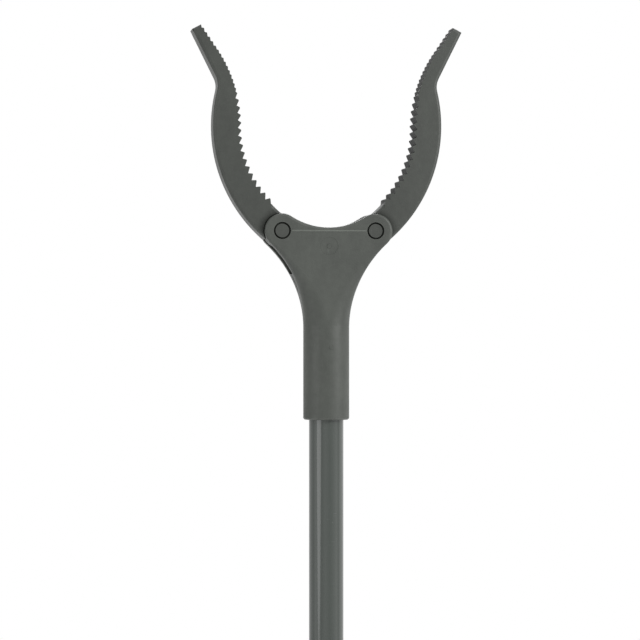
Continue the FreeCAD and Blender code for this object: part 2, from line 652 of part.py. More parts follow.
rear_cutters = [lug_pocket()]
for index, side in enumerate(("head_screw_x", "-head_screw_x")):
    drop = f"{HEAD} - head_screw_drop"
    rear_cutters.append(cylinder(f"head_screw_way_{index}", "head_screw_radius + through_gap",
                                 "head_half + overrun", side, "-slip", drop, BACK))
    rear_cutters.append(cylinder(f"head_screw_sink_{index}", "head_screw_head + through_gap",
                                 "head_half", side, "head_screw_seat", drop, BACK))
for index, side in enumerate(("pin_x", "-pin_x")):
    rear_cutters.append(cylinder(f"pin_flange_sink_{index}", "pin_flange_radius + slip",
                                 "head_half", side, "pin_flange_from", HEAD, BACK))
head_mirror = combine("Part::Mirroring", "head_mirror", Source=head_front, Normal=BACK)
head_cutters = combine("Part::MultiFuse", "head_cutters", Shapes=rear_cutters)
head_rear = combine("Part::Cut", "head_shell_rear", Base=head_mirror, Tool=head_cutters)

# ---------------------------------------------------------------- jaw pins and link pins

LINK_X = "(pin_x - tail_length * cos(tail_angle))"
LINK_Z = "(-tail_length * sin(tail_angle))"


def make_jaw_pin(label, x):
    """Stepped pin: a flange in the rear shell, a shank, and a nose in the front's ring groove."""
    body = new_body(label, HEAD)
    shank = new_sketch(body, "XZ_Plane", "-pin_flange_from")
    add_circle(shank, "pin_radius", x)
    feature(body, "Pad", shank, Length="pin_flange_from + head_half - pin_ring_depth")
    nose = new_sketch(body, "XZ_Plane")
    add_circle(nose, "pin_nose", x)
    feature(body, "Pad", nose, Length="pin_front")
    flange = new_sketch(body, "XZ_Plane", "-pin_flange_to")
    add_circle(flange, "pin_flange_radius", x)
    feature(body, "Pad", flange, Length="pin_flange_to - pin_flange_from")


def make_link_pin(label, x):
    body = new_body(label, HEAD)
    section = new_sketch(body, "XZ_Plane")
    add_circle(section, "link_radius", x, LINK_Z)
    feature(body, "Pad", section, symmetric=True, Length="2 * link_half")


make_jaw_pin("jaw_pin_right", "pin_x")
make_jaw_pin("jaw_pin_left", "-pin_x")
make_link_pin("link_pin_right", LINK_X)
make_link_pin("link_pin_left", f"-{LINK_X}")

# ---------------------------------------------------------------- jaws

# The right jaw's outline, in the head's frame. The back is one arc and then a straight tip.
# The crests of the teeth touch a bowed line: two arcs that meet, and a straight pad at the tip.


def head_point(x, rise):
    return Vector(size(x), 0, size(rise))


BACK_CENTRE, BACK_RADIUS = head_point("jaw_back_x", "jaw_back_rise"), size("jaw_back_radius")
THROAT_CENTRE, THROAT_RADIUS = head_point("throat_x", "throat_centre"), size("throat_radius")
TIP_OUTER = head_point("tip_x", "tip_rise")
TIP_INNER = head_point("tip_inner_x", "tip_inner_rise")
# each run of teeth: its lower end, the teeth's pitch, and their depth at its top and at its end
TOOTH_RUNS = [
    ("pad_rise", 2.0, 0.55, 0.55),
    ("fine_rise", 1.75, 0.42, 0.42),
    ("coarse_rise", 2.73, 1.0, 1.55),
]
# shares of the pitch: from a crest down to the next root, and the blunt end of a crest
TOOTH_ROOT = 0.58
TOOTH_BLUNT = 0.14


def circle_point(centre, radius, z):
    return Vector(centre.x + math.sqrt(radius ** 2 - (z - centre.z) ** 2), 0, z)


def travel_to(rise):
    """Distance along the toothed side's arcs from their meeting point up to a height."""
    height = rise - size("bend_rise")
    radius = size("upper_radius" if height > 0 else "lower_radius")
    return radius * math.asin(height / radius)


PAD_START = travel_to(size("pad_rise"))


def face_point(travel):
    """Point of the line along the crests, and the direction into the jaw.

    travel is the distance along that line from the meeting point of its arcs, upwards.
    """
    if travel > PAD_START:
        foot = face_point(PAD_START)[0]
        along = (TIP_INNER - foot).normalize()
        return foot + along * (travel - PAD_START), Vector(along.z, 0, -along.x)
    radius, side = (size("upper_radius"), -1) if travel > 0 else (size("lower_radius"), 1)
    centre = head_point("bend_x", "bend_rise") - Vector(side * radius, 0, 0)
    inward = Vector(math.cos(travel / radius), 0, side * math.sin(travel / radius))
    return centre + inward * side * radius, inward


def toothed_side():
    """Teeth from the tip down: each falls back to its root and then steps out to a blunt crest."""
    points = [TIP_INNER]
    high = PAD_START + (TIP_INNER - face_point(PAD_START)[0]).Length
    for low, pitch, top_depth, low_depth in TOOTH_RUNS:
        low = travel_to(size(low))
        count = round((high - low) / pitch)
        step = (high - low) / count
        for i in range(count):
            root, inward = face_point(high - (i + TOOTH_ROOT) * step)
            depth = top_depth + (low_depth - top_depth) * i / count
            points.append(root + inward * depth)
            points.append(face_point(high - (i + 1 - TOOTH_BLUNT) * step)[0])
            points.append(face_point(high - (i + 1) * step)[0])
        high = low
    return points


def jaw_face(pin):
    """The right jaw's whole outline, closed through its pin."""
    low, kink_z = size("jaw_back_low"), size("kink_rise")
    back_low, back_mid, kink = [circle_point(BACK_CENTRE, BACK_RADIUS, z)
                                for z in (low, (low + kink_z) / 2, kink_z)]
    throat_low, throat_high = size("throat_rise"), size("throat_top")
    throat, throat_mid, throat_top = [circle_point(THROAT_CENTRE, THROAT_RADIUS, z)
                                      for z in (throat_low, (throat_low + throat_high) / 2, throat_high)]
    corners = [kink, TIP_OUTER] + toothed_side() + [throat_top]
    edges = [Part.Arc(back_low, back_mid, kink).toShape()]
    edges += [Part.makeLine(a, b) for a, b in zip(corners, corners[1:])]
    edges.append(Part.Arc(throat_top, throat_mid, throat).toShape())
    edges += [Part.makeLine(throat, pin), Part.makeLine(pin, back_low)]
    return Part.Face(Part.Wire(edges))


def slab(face, half):
    face = face.copy()
    face.translate(Vector(0, -half, 0))
    return face.extrude(Vector(0, 2 * half, 0))


def disc(centre, radius, half):
    return Part.makeCylinder(radius, 2 * half, centre - BACK * half, BACK)


def tail_ears(pin, link):
    """Both ears of the forked tail: a bar with round ends, from the pin to the link pin."""
    half, end = size("hub_half"), size("tail_end")
    along = (link - pin).normalize()
    across = Vector(-along.z, 0, along.x) * end
    bar = Part.Face(Part.makePolygon([pin + across, pin - across, link - across, link + across,
                                      pin + across]))
    return slab(bar, half).fuse(disc(link, end, half))


# directions from the jaw pin to the rim of the wedge that parts the fork, in degrees
FORK_ANGLES = (140, 180, 230, 285)


def fork_gap(pin):
    """What the fork leaves open: a wedge on the tail's side, short of the ring round the pin."""
    reach, gap = 4 * size("hub_radius"), size("fork_half")
    angles = [math.radians(a) for a in FORK_ANGLES]
    rim = [pin + Vector(math.cos(a), 0, math.sin(a)) * reach for a in angles]
    wedge = slab(Part.Face(Part.makePolygon([pin] + rim + [pin])), gap)
    return wedge.cut(disc(pin, size("fork_ring"), gap))


def rounded_arm(face):
    """The arm at its full depth, rounded at the kink and the tip, and along its back and throat."""
    arm = slab(face, size("jaw_half"))
    kink = circle_point(BACK_CENTRE, BACK_RADIUS, size("kink_rise"))

    def across(edge, corner):
        ends = [v.Point for v in edge.Vertexes]
        return all(abs(p.x - corner.x) < TOUCH and abs(p.z - corner.z) < TOUCH for p in ends)

    def along(edge, radius):
        return curved(edge) and abs(edge.Curve.Radius - radius) < TOUCH

    arm = arm.makeFillet(size("kink_bend"), [e for e in arm.Edges if across(e, kink)])
    arm = arm.makeFillet(size("tip_bend"), [e for e in arm.Edges if across(e, TIP_OUTER)])
    arm = arm.makeFillet(size("jaw_edge"), [e for e in arm.Edges if along(e, BACK_RADIUS)])
    return arm.makeFillet(size("throat_edge"), [e for e in arm.Edges if along(e, THROAT_RADIUS)])


def right_jaw():
    pin = Vector(size("pin_x"), 0, 0)
    link = Vector(size(LINK_X), 0, size(LINK_Z))
    half, wide = size("hub_half"), size("jaw_half")
    outline = jaw_face(pin)
    hub = slab(outline, half).fuse([disc(pin, size("hub_radius"), half), tail_ears(pin, link)])
    hub = hub.cut(fork_gap(pin))
    arm = rounded_arm(outline).cut(disc(pin, size("jaw_step"), wide))
    jaw = arm.fuse(hub)
    jaw = jaw.cut(disc(pin, size("pin_radius + hub_gap"), wide))
    jaw = jaw.cut(disc(link, size("link_radius + thread_gap"), wide))
    return jaw.removeSplitter()


def place_jaw(label, shape):
    jaw = doc.addObject("Part::Feature", label)
    jaw.Shape = shape
    jaw.Placement = Placement(Vector(0, 0, size(HEAD)), Rotation())


jaw_shape = right_jaw()
place_jaw("jaw_right", jaw_shape)
place_jaw("jaw_left", jaw_shape.mirror(Vector(), Vector(1, 0, 0)))

# ---------------------------------------------------------------- crosshead

SLOT_Z = f"({LINK_Z} - slot_shift)"
SLOT_HALF = "(link_radius + slot_play)"


def make_crosshead():
    """A beam with an open slot at each end for the link pins, on a stem that grips the rod."""
    body = new_body("crosshead", HEAD)
    top, bottom = f"{SLOT_Z} + {SLOT_HALF}", f"{SLOT_Z} - {SLOT_HALF}"
    right = [
        ("slot_inner - beam_wall", f"{top} + beam_wall"),
        ("beam_end", f"{top} + beam_wall"),
        ("beam_end", top),
        ("slot_inner", top),
        ("slot_inner", bottom),
        ("beam_end", bottom),
        ("beam_end", f"{bottom} - beam_wall"),
        ("stem_half + beam_wall", f"{bottom} - beam_wall"),
        ("stem_half", f"{bottom} - 2 * beam_wall"),
        ("stem_half", "-stem_end"),
    ]
    left = [(f"-({x})", z) for x, z in reversed(right)]
    outline = new_sketch(body, "XZ_Plane")
    dip = [("-stem_half", "-beam_dip"), ("stem_half", "-beam_dip")]
    add_outline(outline, right + left + dip)
    feature(body, "Pad", outline, symmetric=True, Length="2 * beam_half")
    stem = new_sketch(body, "XZ_Plane")
    add_outline(stem, rectangle("-stem_half", "stem_half", "-stem_end", f"{bottom} - 2 * beam_wall"))
    feature(body, "Pad", stem, symmetric=True, Length="2 * (hollow_half - knob_gap)")
    socket = new_sketch(body, "XZ_Plane")
    wide, low, high = "knob_radius + knob_gap", "-knob_base - knob_gap", "-knob_top + knob_gap"
    add_outline(socket, rectangle(f"-({wide})", wide, low, high))
    feature(body, "Pocket", socket, reverse=True, Length="2 * hollow_half")
    neck = new_sketch(body, "XZ_Plane")
    add_outline(neck, rectangle("-rod_radius - knob_gap", "rod_radius + knob_gap",
                                "-stem_end - overrun", low))
    feature(body, "Pocket", neck, reverse=True, Length="2 * hollow_half")
    turned = new_sketch(body, "XZ_Plane")
    add_outline(turned, [
        ("0", "-stem_end - overrun"),
        ("rod_radius + knob_gap", "-stem_end - overrun"),
        ("rod_radius + knob_gap", low),
        (wide, low),
        (wide, high),
        ("0", high),
    ])
    feature(body, "Groove", turned, Angle="360")
    return body


make_crosshead()

# ---------------------------------------------------------------- swivel plug, rivets, spring

plug = new_body("swivel_plug", HEAD)
profile = new_sketch(plug, "XZ_Plane")
add_outline(profile, [
    ("rod_radius + guide_gap", "-plug_end"),
    ("tube_bore - slip", "-plug_end"),
    ("tube_bore - slip", "-flange_base"),
    ("flange_radius", "-flange_base"),
    ("flange_radius", "-flange_top"),
    ("rod_radius + guide_gap", "-flange_top"),
])
feature(plug, "Revolution", profile, Angle="360")
lug = new_sketch(plug, "XY_Plane", "-flange_top")
lug_ends = ["(lug_angle - lug_half_angle)", "(lug_angle + lug_half_angle)"]
add_outline(lug, [
    (f"lug_outer * cos({lug_ends[0]})", f"lug_outer * sin({lug_ends[0]})"),
    (f"lug_outer * cos({lug_ends[1]})", f"lug_outer * sin({lug_ends[1]})", "lug_outer", 1),
    (f"lug_inner * cos({lug_ends[1]})", f"lug_inner * sin({lug_ends[1]})"),
    (f"lug_inner * cos({lug_ends[0]})", f"lug_inner * sin({lug_ends[0]})", "lug_inner", -1),
])
feature(plug, "Pad", lug, Length="lug_height")
rivet_holes = new_sketch(plug, "YZ_Plane")
add_circle(rivet_holes, "rivet_radius + thread_gap", "0", "-rivet_drop")
feature(plug, "Pocket", rivet_holes, symmetric=True, Length="through")

rivets = [cylinder(f"plug_rivet_{index}", "rivet_radius", "rivet_to - rivet_from",
                   x, "0", f"{HEAD} - rivet_drop", Vector(1, 0, 0))
          for index, x in enumerate(("rivet_from", "-rivet_to"))]
combine("Part::Compound", "plug_rivets", Links=rivets)

spring = new_body("return_spring", HEAD)
wire = new_sketch(spring, "XZ_Plane")
add_circle(wire, "wire_radius", "coil_radius", "-coil_base")
coil = spring.newObject("PartDesign::AdditiveHelix", "return_spring_coil")
coil.Profile = wire
coil.ReferenceAxis = (wire, ["V_Axis"])
coil.Mode = "pitch-turns-angle"
bind(coil, Pitch="coil_pitch", Turns="coil_turns")

# ---------------------------------------------------------------- pull rod, guides, nut

rod = new_body("pull_rod")
profile = new_sketch(rod, "XZ_Plane")
add_outline(profile, [
    ("0", f"{HANDLE} - rod_tail"),
    ("rod_radius", f"{HANDLE} - rod_tail"),
    ("rod_radius", f"{HEAD} - knob_base"),
    ("knob_radius", f"{HEAD} - knob_base"),
    ("knob_radius", f"{HEAD} - knob_top"),
    ("0", f"{HEAD} - knob_top"),
])
feature(rod, "Revolution", profile, Angle="360")

GUIDE_COUNT = 4
guides = []
for index in range(GUIDE_COUNT):
    foot = f"{HANDLE} - tube_in_handle + guide_length / 2 + {index} * guide_spacing"
    ring = cylinder(f"guide_ring_{index}", "tube_bore - slip", "guide_length", z=foot)
    bore = cylinder(f"guide_bore_{index}", "rod_radius + guide_gap", "guide_length", z=foot)
    guides.append(combine("Part::Cut", f"guide_{index}", Base=ring, Tool=bore))
combine("Part::Compound", "rod_guides", Links=guides)

nut = new_body("rod_nut", HANDLE)
hexagon = new_sketch(nut, "XY_Plane", "-slider_back - slip - nut_height")
add_outline(hexagon, [(f"nut_radius * cos({60 * i})", f"nut_radius * sin({60 * i})") for i in range(6)])
add_circle(hexagon, "rod_radius + thread_gap")
feature(nut, "Pad", hexagon, Length="nut_height")

# ---------------------------------------------------------------- slider and drive pin

DRIVE_X = "(trunnion_depth + drive_arm)"
DRIVE_Z = "(-trunnion_back + drive_travel / 2)"

slider = new_body("draw_slider", HANDLE)
block = new_sketch(slider, "XZ_Plane")
add_outline(block, rectangle("-slider_half", "slider_half", "-slider_back", "-slider_front"))
feature(slider, "Pad", block, symmetric=True, Length="2 * slider_width")
leg = new_sketch(slider, "XZ_Plane")
add_outline(leg, [
    ("0", f"{DRIVE_Z} - leg_half"),
    (DRIVE_X, f"{DRIVE_Z} - leg_half"),
    (f"{DRIVE_X} + leg_half", DRIVE_Z, "leg_half", 1),
    (DRIVE_X, f"{DRIVE_Z} + leg_half", "leg_half", 1),
    ("0", f"{DRIVE_Z} + leg_half"),
])
feature(slider, "Pad", leg, symmetric=True, Length="2 * leg_half")
pin_way = new_sketch(slider, "XZ_Plane")
add_circle(pin_way, "drive_radius + thread_gap", DRIVE_X, DRIVE_Z)
feature(slider, "Pocket", pin_way, symmetric=True, Length="through")
rod_way = new_sketch(slider, "XY_Plane")
add_circle(rod_way, "rod_radius + thread_gap")
feature(slider, "Pocket", rod_way, Length="slider_back + overrun")

pin = new_body("drive_pin", HANDLE)
section = new_sketch(pin, "XZ_Plane")
add_circle(section, "drive_radius", DRIVE_X, DRIVE_Z)
feature(pin, "Pad", section, symmetric=True, Length="2 * drive_half")

# ---------------------------------------------------------------- trigger


def make_trigger():
    """A trough, open towards the grip, that turns on two stub trunnions."""
    body = new_body("trigger", HANDLE)
    slope = "atan((trigger_top_depth - trunnion_depth) / (trigger_top_back - trunnion_back))"
    lean = f"({slope} - asin(trigger_boss / sqrt((trigger_top_depth - trunnion_depth)^2"
    lean += " + (trigger_top_back - trunnion_back)^2)))"
    outline = new_sketch(body, "XZ_Plane")
    add_outline(outline, [
        (f"trunnion_depth - trigger_boss * cos({lean})",
         f"-trunnion_back - trigger_boss * sin({lean})", "trigger_boss", 1),
        ("trigger_top_depth", "-trigger_top_back"),
        ("trigger_low_depth", "-trigger_low_back"),
        *tangent_arcs([
            ("trigger_low_depth", "-trigger_low_back"),
            ("trigger_nose_depth", "-trigger_nose_back"),
            ("trigger_tip_depth", "-trigger_tip_back"),
        ], "trigger_bend"),
        ("trigger_neck_depth", "-trigger_neck_back"),
    ])
    feature(body, "Pad", outline, symmetric=True, Length="2 * trigger_half")
    side, boss_radius = size("trigger_half"), size("trigger_boss")

    def pulled_edge(edge):
        on_side = in_plane(edge, side) or in_plane(edge, -side)
        return on_side and curved(edge) and edge.Curve.Radius > boss_radius + TOUCH

    dress_edges(body, "Fillet", pulled_edge, Radius="trigger_edge")

    def open_face(face):
        middle = face.CenterOfMass
        boss = "Cylinder" in face.Surface.TypeId and abs(face.Surface.Radius - boss_radius) < TOUCH
        towards_grip = "Plane" in face.Surface.TypeId and face.normalAt(0, 0).x < 0
        return abs(middle.y) < TOUCH and (boss or towards_grip)

    hollow_out(body, "trigger_wall", open_face)
    trunnions = new_sketch(body, "XZ_Plane")
    add_circle(trunnions, "trunnion_radius", "trunnion_depth", "-trunnion_back")
    feature(body, "Pad", trunnions, symmetric=True, Length="2 * trunnion_half")
    between = new_sketch(body, "XZ_Plane")
    add_circle(between, "trunnion_radius + slip", "trunnion_depth", "-trunnion_back")
    feature(body, "Pocket", between, symmetric=True, Length="2 * (trigger_half - trigger_wall)")
    swing = "atan(drive_travel / 2 / drive_arm)"
    drive = new_sketch(body, "XZ_Plane")
    add_circle(drive, "drive_hole", f"trunnion_depth + drive_hole_arm * cos({swing})",
               f"-trunnion_back + drive_hole_arm * sin({swing})")
    feature(body, "Pocket", drive, symmetric=True, Length="through")
    return body


make_trigger()

# ---------------------------------------------------------------- handle shells

# screw places: distance below the tube's axis and distance behind the barrel's mouth
HANDLE_SCREWS = [("-3.2", "68"), ("5", "101"), ("33", "133.5")]


GRIP_BACK = [
    ("-barrel_radius", "-grip_start"),
    ("-hump_rise", "-hump_back"),
    ("heel_depth", "-heel_back"),
    ("toe_depth", "-toe_back"),
]


def add_grip(body):
    """The grip's half shell: it widens behind the barrel and is rounded along its back."""
    outline = new_sketch(body, "XZ_Plane")
    add_outline(outline, [
        GRIP_BACK[0],
        *tangent_arcs(GRIP_BACK, "hump_bend"),
        ("lip_depth", "-lip_back"),
        ("chin_depth", "-grip_start"),
    ])
    feature(body, "Pad", outline, Length="grip_half")
    shoulder = new_sketch(body, "YZ_Plane")
    widening = "(grip_half - barrel_radius)"
    add_outline(shoulder, [
        ("-barrel_radius", "-grip_start", f"({widening} / 2 + shoulder_length^2 / 2 / {widening})", -1),
        ("-barrel_radius", "-grip_start + overrun"),
        ("-grip_half - overrun", "-grip_start + overrun"),
        ("-grip_half - overrun", "-grip_start - shoulder_length"),
        ("-grip_half", "-grip_start - shoulder_length"),
    ])
    feature(body, "Pocket", shoulder, symmetric=True, Length="through")
    side, floor = -size("grip_half"), -size("grip_half - grip_wall")
    dress_edges(body, "Fillet", lambda edge: in_plane(edge, side) and curved(edge), Radius="grip_edge")
    dress_edges(body, "Chamfer", lambda edge: in_plane(edge, 0) and curved(edge), Size="parting_bevel")
    hollow = new_sketch(body, "XZ_Plane")
    add_outline(hollow, [
        ("-barrel_radius + grip_wall", "-grip_start - front_wall"),
        *tangent_arcs(GRIP_BACK, "hump_bend", "grip_wall"),
        ("toe_depth + open_reach", "-toe_back + grip_wall"),
        ("toe_depth + open_reach", "-lip_back - grip_wall"),
        ("lip_depth - slip", "-lip_back - grip_wall"),
        ("chin_depth", "-grip_start - front_wall"),
    ])
    feature(body, "Pocket", hollow, reverse=True, Length="grip_half - grip_wall")
    dress_edges(body, "Fillet", lambda edge: in_plane(edge, floor) and curved(edge),
                Radius="grip_inner_edge")


def add_barrel(body):
    """The round barrel, the stud that holds the tube in it, and half of the hook."""
    barrel = new_sketch(body, "XZ_Plane")
    add_outline(barrel, [
        ("0", "-grip_start - front_wall"),
        ("barrel_radius", "-grip_start - front_wall"),
        ("barrel_radius", "-mouth_bevel"),
        ("barrel_radius - mouth_bevel", "0"),
        ("0", "0"),
    ])
    feature(body, "Revolution", barrel, reverse=True, Angle="180")
    bore = new_sketch(body, "XZ_Plane")
    add_outline(bore, rectangle("0", "tube_radius + slip", "-grip_start - front_wall - overrun", "overrun"))
    feature(body, "Groove", bore, Angle="360")
    stud = new_sketch(body, "XZ_Plane", "tube_bore + slip")
    add_circle(stud, "stud_radius", "0", "-stud_back")
    feature(body, "Pad", stud, Length="tube_radius - tube_bore + stud_root")
    hook = new_sketch(body, "XZ_Plane")
    draw_hook(hook)
    feature(body, "Pad", hook, Length="hook_half")


def make_handle_front():
    body = new_body("handle_shell_front", HANDLE)
    add_grip(body)
    rails = new_sketch(body, "XZ_Plane", "rail_from")
    for low in ("rail_half", "-rail_half - rail_thick"):
        add_outline(rails, rectangle(low, f"{low} + rail_thick", "-rail_end", "-rail_start"))
    feature(body, "Pad", rails, Length="inner_half - rail_from")
    bosses = new_sketch(body, "XZ_Plane")
    for depth, back in HANDLE_SCREWS:
        add_circle(bosses, "hand_boss", depth, f"-{back}")
    feature(body, "Pad", bosses, Length="inner_half")
    add_barrel(body)
    pilots = new_sketch(body, "XZ_Plane")
    for depth, back in HANDLE_SCREWS:
        add_circle(pilots, "hand_screw_radius + thread_gap", depth, f"-{back}")
    feature(body, "Pocket", pilots, reverse=True, Length="hand_screw_deep + thread_gap")
    pivot = new_sketch(body, "XZ_Plane")
    add_circle(pivot, "trunnion_radius + slip", "trunnion_depth", "-trunnion_back")
    feature(body, "Pocket", pivot, reverse=True, Length="grip_half + overrun")
    return body


def draw_hook(sketch):
    """A hook open towards the jaws: a half ring on a slanting stem, with a round end."""
    inner, outer = "hook_radius", "(hook_radius + hook_thick)"
    add_outline(sketch, [
        (f"hook_depth + {inner}", "-hook_back", inner, -1),
        ("hook_depth", f"-hook_back - {inner}", inner, -1),
        ("hook_root_depth", "-hook_root_back + hook_thick"),
        ("hook_root_depth", "-hook_root_back"),
        ("hook_depth", f"-hook_back - {outer}"),
        (f"hook_depth + {outer}", "-hook_back", outer, 1),
        ("hook_depth", f"-hook_back + {outer}", outer, 1),
        ("hook_depth - hook_thick / 2", f"-hook_back + {inner} + hook_thick / 2", "hook_thick / 2", 1),
        ("hook_depth", f"-hook_back + {inner}", "hook_thick / 2", 1),
    ])


handle_front = make_handle_front()
screw_ways = []
for index, (depth, back) in enumerate(HANDLE_SCREWS):
    lift = f"{HANDLE} - {back}"
    screw_ways.append(cylinder(f"hand_screw_way_{index}", "hand_screw_radius + through_gap",
                               "grip_half", depth, "-slip", lift, BACK))
    screw_ways.append(cylinder(f"hand_screw_sink_{index}", "hand_screw_head + through_gap",
                               "grip_half", depth, "hand_screw_seat", lift, BACK))
handle_mirror = combine("Part::Mirroring", "handle_mirror", Source=handle_front, Normal=BACK)
handle_cutters = combine("Part::MultiFuse", "handle_cutters", Shapes=screw_ways)
combine("Part::Cut", "handle_shell_rear", Base=handle_mirror, Tool=handle_cutters)

# ---------------------------------------------------------------- screws


def make_screws(label, places, lift, radius, head, deep, seat):
    """Identical screws that enter from the rear: a shank and a bevelled head with a cross slot."""
    screws = []
    top = f"{seat} + cap_height + cap_rise"
    for index, (x, z) in enumerate(places):
        up = f"{lift} + {z}"
        shank = cylinder(f"{label}_shank_{index}", radius, f"{deep} + {seat}", x, f"-{deep}", up, BACK)
        rim = cylinder(f"{label}_rim_{index}", head, "cap_height", x, seat, up, BACK)
        bevel = doc.addObject("Part::Cone", f"{label}_bevel_{index}")
        bevel.Placement = Placement(Vector(), Rotation(Vector(0, 0, 1), BACK))
        bind(bevel, Radius1=head, Radius2=f"{head} - cap_bevel", Height="cap_rise")
        bind(bevel, Placement__Base__x=x, Placement__Base__y=f"{seat} + cap_height", Placement__Base__z=up)
        whole = combine("Part::MultiFuse", f"{label}_blank_{index}", Shapes=[shank, rim, bevel])
        cross = []
        for name, across, along in (("wide", f"{head} * cross_reach", "cross_half"),
                                    ("high", "cross_half", f"{head} * cross_reach")):
            cross.append(box(f"{label}_{name}_{index}", f"2 * {across}", "2 * cross_depth", f"2 * {along}",
                             f"{x} - {across}", f"{top} - cross_depth", f"{up} - {along}"))
        slots = combine("Part::MultiFuse", f"{label}_slots_{index}", Shapes=cross)
        screws.append(combine("Part::Cut", f"{label}_{index}", Base=whole, Tool=slots))
    combine("Part::Compound", label, Links=screws)


make_screws("head_screws", [("head_screw_x", "-head_screw_drop"), ("-head_screw_x", "-head_screw_drop")],
            HEAD, "head_screw_radius", "head_screw_head", "head_screw_deep", "head_screw_seat")
make_screws("handle_screws", [(depth, f"-{back}") for depth, back in HANDLE_SCREWS],
            HANDLE, "hand_screw_radius", "hand_screw_head", "hand_screw_deep", "hand_screw_seat")

# ---------------------------------------------------------------- checks and files

NODES = [
    "jaw_left", "jaw_right", "jaw_pin_left", "jaw_pin_right", "link_pin_left", "link_pin_right",
    "head_shell_front", "head_shell_rear", "head_screws", "crosshead", "return_spring",
    "swivel_plug", "plug_rivets", "shaft_tube", "rod_guides", "pull_rod", "rod_nut",
    "draw_slider", "drive_pin", "trigger", "handle_shell_front", "handle_shell_rear",
    "handle_screws",
]

doc.recompute()
for thing in doc.Objects:
    if {"Invalid", "Error"} & set(thing.State):
        raise RuntimeError(f"{thing.Name} failed: {thing.State}")
os.makedirs("parts", exist_ok=True)
for label in NODES:
    shape = doc.getObjectsByLabel(label)[0].Shape
    if shape.isNull() or not shape.isValid():
        raise RuntimeError(f"{label} has no valid shape")
    shape.exportStep(f"parts/{label}.step")
    print(f"{label}: {len(shape.Solids)} solids, {shape.Volume:.1f} mm3")
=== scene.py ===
import json
import math

import bpy
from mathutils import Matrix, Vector


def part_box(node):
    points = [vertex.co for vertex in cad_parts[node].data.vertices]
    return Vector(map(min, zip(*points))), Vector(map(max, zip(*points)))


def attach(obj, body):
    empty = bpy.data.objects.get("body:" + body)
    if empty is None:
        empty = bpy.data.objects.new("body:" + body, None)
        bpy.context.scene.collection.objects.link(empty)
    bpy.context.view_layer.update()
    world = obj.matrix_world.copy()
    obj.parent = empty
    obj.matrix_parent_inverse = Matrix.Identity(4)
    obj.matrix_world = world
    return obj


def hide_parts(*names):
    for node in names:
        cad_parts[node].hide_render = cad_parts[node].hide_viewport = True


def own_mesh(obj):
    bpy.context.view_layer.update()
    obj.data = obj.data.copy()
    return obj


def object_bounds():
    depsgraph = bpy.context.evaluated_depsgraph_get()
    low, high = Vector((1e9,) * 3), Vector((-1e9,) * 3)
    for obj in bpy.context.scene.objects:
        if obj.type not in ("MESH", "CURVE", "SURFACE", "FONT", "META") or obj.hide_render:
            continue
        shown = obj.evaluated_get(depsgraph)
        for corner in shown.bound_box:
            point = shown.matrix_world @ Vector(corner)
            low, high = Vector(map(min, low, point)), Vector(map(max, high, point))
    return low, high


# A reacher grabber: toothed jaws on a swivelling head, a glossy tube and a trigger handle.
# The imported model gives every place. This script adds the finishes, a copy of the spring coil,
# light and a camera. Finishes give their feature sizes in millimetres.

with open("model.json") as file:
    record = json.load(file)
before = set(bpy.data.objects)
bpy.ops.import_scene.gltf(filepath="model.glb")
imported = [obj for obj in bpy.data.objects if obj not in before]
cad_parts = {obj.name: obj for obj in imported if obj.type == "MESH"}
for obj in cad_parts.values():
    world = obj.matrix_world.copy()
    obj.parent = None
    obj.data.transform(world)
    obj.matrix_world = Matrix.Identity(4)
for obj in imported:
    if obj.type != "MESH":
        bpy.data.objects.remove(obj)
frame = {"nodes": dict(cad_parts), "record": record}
cad_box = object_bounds()

NODES = frame["nodes"]
MM = 0.001


# ---------------------------------------------------------------- node helpers

def add(tree, kind, values=None, **properties):
    """A shader node. Its inputs are given by name or index, as values or as other sockets."""
    node = tree.nodes.new("ShaderNode" + kind)
    for name, value in properties.items():
        setattr(node, name, value)
    for key, value in (values or {}).items():
        if isinstance(value, bpy.types.NodeSocket):
            tree.links.new(value, node.inputs[key])
        else:
            node.inputs[key].default_value = value
    return node


def calc(tree, operation, *values, clamp=False):
    node = add(tree, "Math", dict(enumerate(values)), operation=operation, use_clamp=clamp)
    return node.outputs[0]


def times(tree, first, second):
    return calc(tree, "MULTIPLY", first, second)


def mix(tree, factor, first, second):
    """A colour between first and second."""
    node = add(tree, "Mix", {0: factor, 6: first, 7: second}, data_type="RGBA")
    return node.outputs[2]


def spread(tree, value, low, high, to_low=0.0, to_high=1.0):
    """value's range low..high stretched to to_low..to_high, held at the ends."""
    node = add(tree, "MapRange", {0: value, 1: low, 2: high, 3: to_low, 4: to_high})
    return node.outputs[0]


def split(tree, vector):
    """The x, y and z sockets of a vector socket."""
    return add(tree, "SeparateXYZ", {0: vector}).outputs


def object_point(tree):
    return add(tree, "TexCoord").outputs["Object"]


def stretched(tree, point, scale):
    return add(tree, "Mapping", {"Vector": point, "Scale": scale}).outputs[0]


def noise(tree, point, feature, detail=2.0, rough=0.5):
    """Noise whose blotches are about this many millimetres across."""
    node = add(tree, "TexNoise", {"Vector": point, "Scale": 1 / (feature * MM), "Detail": detail,
                                  "Roughness": rough})
    return node.outputs["Fac"]


def cells(tree, point, feature):
    """Rounded cells about this many millimetres across: 0 in the middle of a cell."""
    node = add(tree, "TexVoronoi", {"Vector": point, "Scale": 1 / (feature * MM), "Smoothness": 0.6},
               feature="SMOOTH_F1")
    return node.outputs["Distance"]


def edge_mask(tree, radius):
    """0 on open surface, rising to 1 on edges sharper than this radius in millimetres."""
    flat, sharpest = 0.995, 0.80
    soft = add(tree, "Bevel", {"Radius": radius * MM}, samples=4).outputs[0]
    sharp = add(tree, "NewGeometry").outputs["Normal"]
    facing = add(tree, "VectorMath", {0: soft, 1: sharp}, operation="DOT_PRODUCT").outputs["Value"]
    return spread(tree, facing, flat, sharpest)


